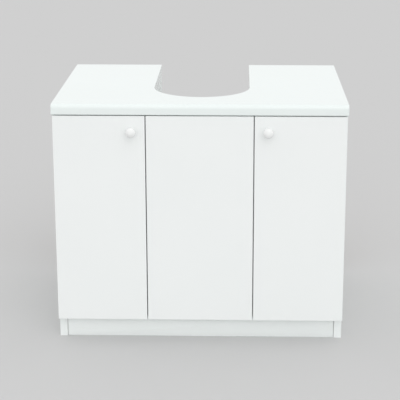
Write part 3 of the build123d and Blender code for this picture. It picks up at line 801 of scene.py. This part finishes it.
def linkShells(points, sign):
    # Strap: a rounded section carried along the arc through both pivots; its height is waisted by a sine.
    look = linkLook
    low, high = points.min(0), points.max(0)
    placed = hingePlace(sign, low, high)
    half, peak = (high[2] - low[2]) / 2, np.array(look["peak"])
    legs = np.array([2 * (peak - cupPivot), 2 * (armPivot - cupPivot)])
    squares = [spot @ spot - cupPivot @ cupPivot for spot in (peak, armPivot)]
    centre = np.linalg.solve(legs, squares)
    bend = np.hypot(*(cupPivot - centre))
    first, last = (math.atan2(*(spot - centre)[::-1]) for spot in (cupPivot, armPivot))
    inset = look["overlap"] * hinge["eye"] / bend
    way = np.linspace(first - inset, last + inset, look["steps"])[:, None]
    waist = half - look["waist"] * np.sin(np.linspace(0, math.pi, look["steps"]))[:, None] ** 2
    section = eased([(-1, -1), (1, -1), (1, 1), (-1, 1)], look["corner"], 4, closed=True)
    radius = bend + section[None, :, 0] * look["strap"] / 2
    across, ahead = centre[0] + radius * np.cos(way), centre[1] + radius * np.sin(way)
    shells = [carried(placed(across, ahead, section[None, :, 1] * waist))]
    bore, eye = look["bore"], hinge["eye"]
    ring = eased([(-half, bore), (-half, eye), (half, eye), (half, bore)], look["eyeCurve"], 4, closed=True)
    for spot in (cupPivot, armPivot):
        shells.append(lathe(ring, placed(*spot, 0.0), (0, 0, 1), look["columns"], closedRows=True))
    return shells


armLook = {
    "crown": 2.0 * mm, "depth": 24.0 * mm, "shoulder": -12.0 * mm, "shoulderLength": 10 * mm, "nose": -1.4 * mm,
    "steps": 48, "foldCurve": 0.9 * mm,
    "rib": 0.3 * mm, "ribWidth": 2.4 * mm, "ribEnds": (3 * mm, -4 * mm), "ribFade": 3 * mm,
    "cheekBack": -4 * mm, "cheekTop": (-1 * mm, 0.2 * mm), "cheekRim": 0.25 * mm,
}


def armShells(points, sign):
    # Channel: a folded section carried back from the nose, its cheeks deepening by a smooth step.
    look = armLook
    low, high = points.min(0), points.max(0)
    placed = hingePlace(sign, low, high)
    half, top = (high[2] - low[2]) / 2, armPivot[0] + look["crown"]
    gauge, eye, rear = hinge["gauge"], hinge["eye"], frontPlane - high[1]
    inner = half - gauge

    def folded(tip):
        corners = [(-half, tip), (-half, top), (half, top), (half, tip), (inner, tip), (inner, top - gauge),
                   (-inner, top - gauge), (-inner, tip)]
        return eased(corners, look["foldCurve"], 5, closed=True)

    way = np.linspace(rear, look["nose"], look["steps"])[:, None, None]
    step = np.clip((way - look["shoulder"]) / look["shoulderLength"], 0, 1)
    step = step * step * (3 - 2 * step)
    flat = (1 - step) * folded(look["depth"])[None] + step * folded(armPivot[0] - eye)[None]
    w, u = flat[..., 0], flat[..., 1]
    long = way[..., 0]
    # a shallow rib pressed into the crown between its two ends
    ribBack, ribFront = rear + look["ribEnds"][0], look["ribEnds"][1]
    press = np.clip((long - ribBack) / look["ribFade"], 0, 1) * np.clip((ribFront - long) / look["ribFade"], 0, 1)
    u = u - look["rib"] * press * np.exp(-(w / look["ribWidth"]) ** 4) * (u > top - 2 * gauge)
    shells = [carried(placed(u, long + 0 * u, w))]
    turn = np.linspace(math.pi, 0, 20)
    nose = armPivot + eye * np.stack([np.cos(turn), np.sin(turn)], -1)
    back, (topAhead, topDrop) = look["cheekBack"], look["cheekTop"]
    cheek = np.concatenate([[(armPivot[0] - eye, back)], nose, [(top, topAhead), (top - topDrop, back)]])
    for base in (inner, -half):
        shells.append(prism(cheek, base, base + gauge, look["cheekRim"], placed))
    return shells


plateLook = {
    "middle": 18 * mm, "armPlay": 1.7 * mm, "wing": 13.0 * mm, "foot": 34.0 * mm, "thick": 2.0 * mm,
    "footRim": 0.5 * mm, "ribPlay": 0.2 * mm, "ribCurve": 1.2 * mm, "ribRim": 0.4 * mm, "columns": 160,
}


def plateShells(points, sign):
    # A plus-shaped foot with softened corners, and the rib that the arm slides over.
    look = plateLook
    low, high = points.min(0), points.max(0)
    across = hingePlace(sign, low, high)
    foot, crown = (sideOuter - edge for edge in sorted((abs(low[0]), abs(high[0])), reverse=True))
    wingHalf, wing = (high[2] - low[2]) / 2, look["wing"] / 2
    armHalf = hinge["linkHalf"] + look["armPlay"]
    rear, fore = frontPlane - high[1], frontPlane - low[1]

    def inside(x, y):
        return (abs(x) < look["foot"] / 2) & (abs(y) < armHalf) | capsule(x, y, wingHalf - wing, wing)

    def placed(v, w, u):
        return across(u, v, w)

    reach = outlineReach(inside, 30 * mm, look["columns"])
    angle = polarAngles(look["columns"])
    loop = np.stack([rear + look["middle"] + reach * np.cos(angle), reach * np.sin(angle)], -1)
    rib = armHalf - hinge["gauge"] - look["ribPlay"]
    block = eased([(rear, -rib), (fore, -rib), (fore, rib), (rear, rib)], look["ribCurve"], 6, closed=True)
    return [prism(loop, foot, foot + look["thick"], look["footRim"], placed),
            prism(block, foot + look["footRim"], crown, look["ribRim"], placed)]


hingePieces = (("HingeCups", "_hinge_cups", cupShells), ("HingeLinks", "_hinge_links", linkShells),
               ("HingeArms", "_hinge_arms", armShells), ("HingePlates", "_hinge_plates", plateShells))
for side, sign in sides:
    for name, node, shape in hingePieces:
        made = [shell for points in solidsOf(side + node) for shell in shape(points, sign)]
        finishPiece(side + name, side + node, made, nickel)
print("hinges made")

studio = {
    "grey": (0.885, 0.885, 0.885), "floorColour": (0.594, 0.594, 0.594), "floorHalf": 60.0,
    "suns": (  # name, strength, azimuth, elevation, spread in degrees, seen in gloss
        ("keySun", 0.34, 24.0, 48.0, 45.0, True),
        ("frontSun", 0.74, 5.0, 8.0, 60.0, False),
        ("rearSun", 0.22, 190.0, 45.0, 110.0, True),
    ),
    "softbox": {"size": 1.2, "power": 0.8, "at": (0.1, -1.3, 1.7), "aim": (0.0, -0.2, 0.40)},
}


def makeFloor():
    half = studio["floorHalf"]
    corners = [(-half, -half, 0), (half, -half, 0), (half, half, 0), (-half, half, 0)]
    mesh = bpy.data.meshes.new("floor")
    mesh.from_pydata(corners, [], [(0, 1, 2, 3)])
    floor = bpy.data.objects.new("floor", mesh)
    bpy.context.scene.collection.objects.link(floor)
    material, tree, shader, where = startMaterial("paleFloor")
    shader.inputs["Base Color"].default_value = rgb(studio["floorColour"])
    shader.inputs["Roughness"].default_value = 1.0
    shader.inputs["Specular IOR Level"].default_value = 0.0
    mesh.materials.append(material)


def addLamp(name, kind, energy, inGloss):
    lamp = bpy.data.lights.new(name, kind)
    lamp.energy = energy
    made = bpy.data.objects.new(name, lamp)
    made.visible_glossy = inGloss
    bpy.context.scene.collection.objects.link(made)
    return made


def makeLights():
    world = bpy.data.worlds.new("studio")
    world.use_nodes = True
    world.node_tree.nodes["Background"].inputs[0].default_value = rgb(studio["grey"])
    bpy.context.scene.world = world
    for name, strength, azimuth, elevation, spread, inGloss in studio["suns"]:
        made = addLamp(name, "SUN", strength, inGloss)
        made.data.angle = math.radians(spread)
        made.rotation_euler = (math.radians(90 - elevation), 0, math.radians(azimuth))
    box = studio["softbox"]
    made = addLamp("softbox", "AREA", box["power"], False)
    made.data.size = box["size"]
    made.location = box["at"]
    made.rotation_euler = (Vector(box["aim"]) - made.location).to_track_quat("-Z", "Y").to_euler()


camera = {
    "at": (0.078, -2.6306, 1.050), "pitch": 15.13, "turn": 1.25,
    "focal": 1240.5, "centre": (212.0, 160.0), "frame": 400.0, "sensor": 36.0, "far": 200.0,
}


def makeCamera():
    data = bpy.data.cameras.new("camera")
    data.sensor_width = camera["sensor"]
    data.lens = camera["focal"] * camera["sensor"] / camera["frame"]
    data.shift_x = (camera["frame"] / 2 - camera["centre"][0]) / camera["frame"]
    data.shift_y = (camera["centre"][1] - camera["frame"] / 2) / camera["frame"]
    data.clip_end = camera["far"]
    made = bpy.data.objects.new("camera", data)
    made.location = camera["at"]
    made.rotation_euler = (math.radians(90 - camera["pitch"]), 0, math.radians(camera["turn"]))
    bpy.context.scene.collection.objects.link(made)
    bpy.context.scene.camera = made


makeFloor()
makeLights()
makeCamera()
bpy.context.scene.view_settings.view_transform = "Standard"
print("studio set")
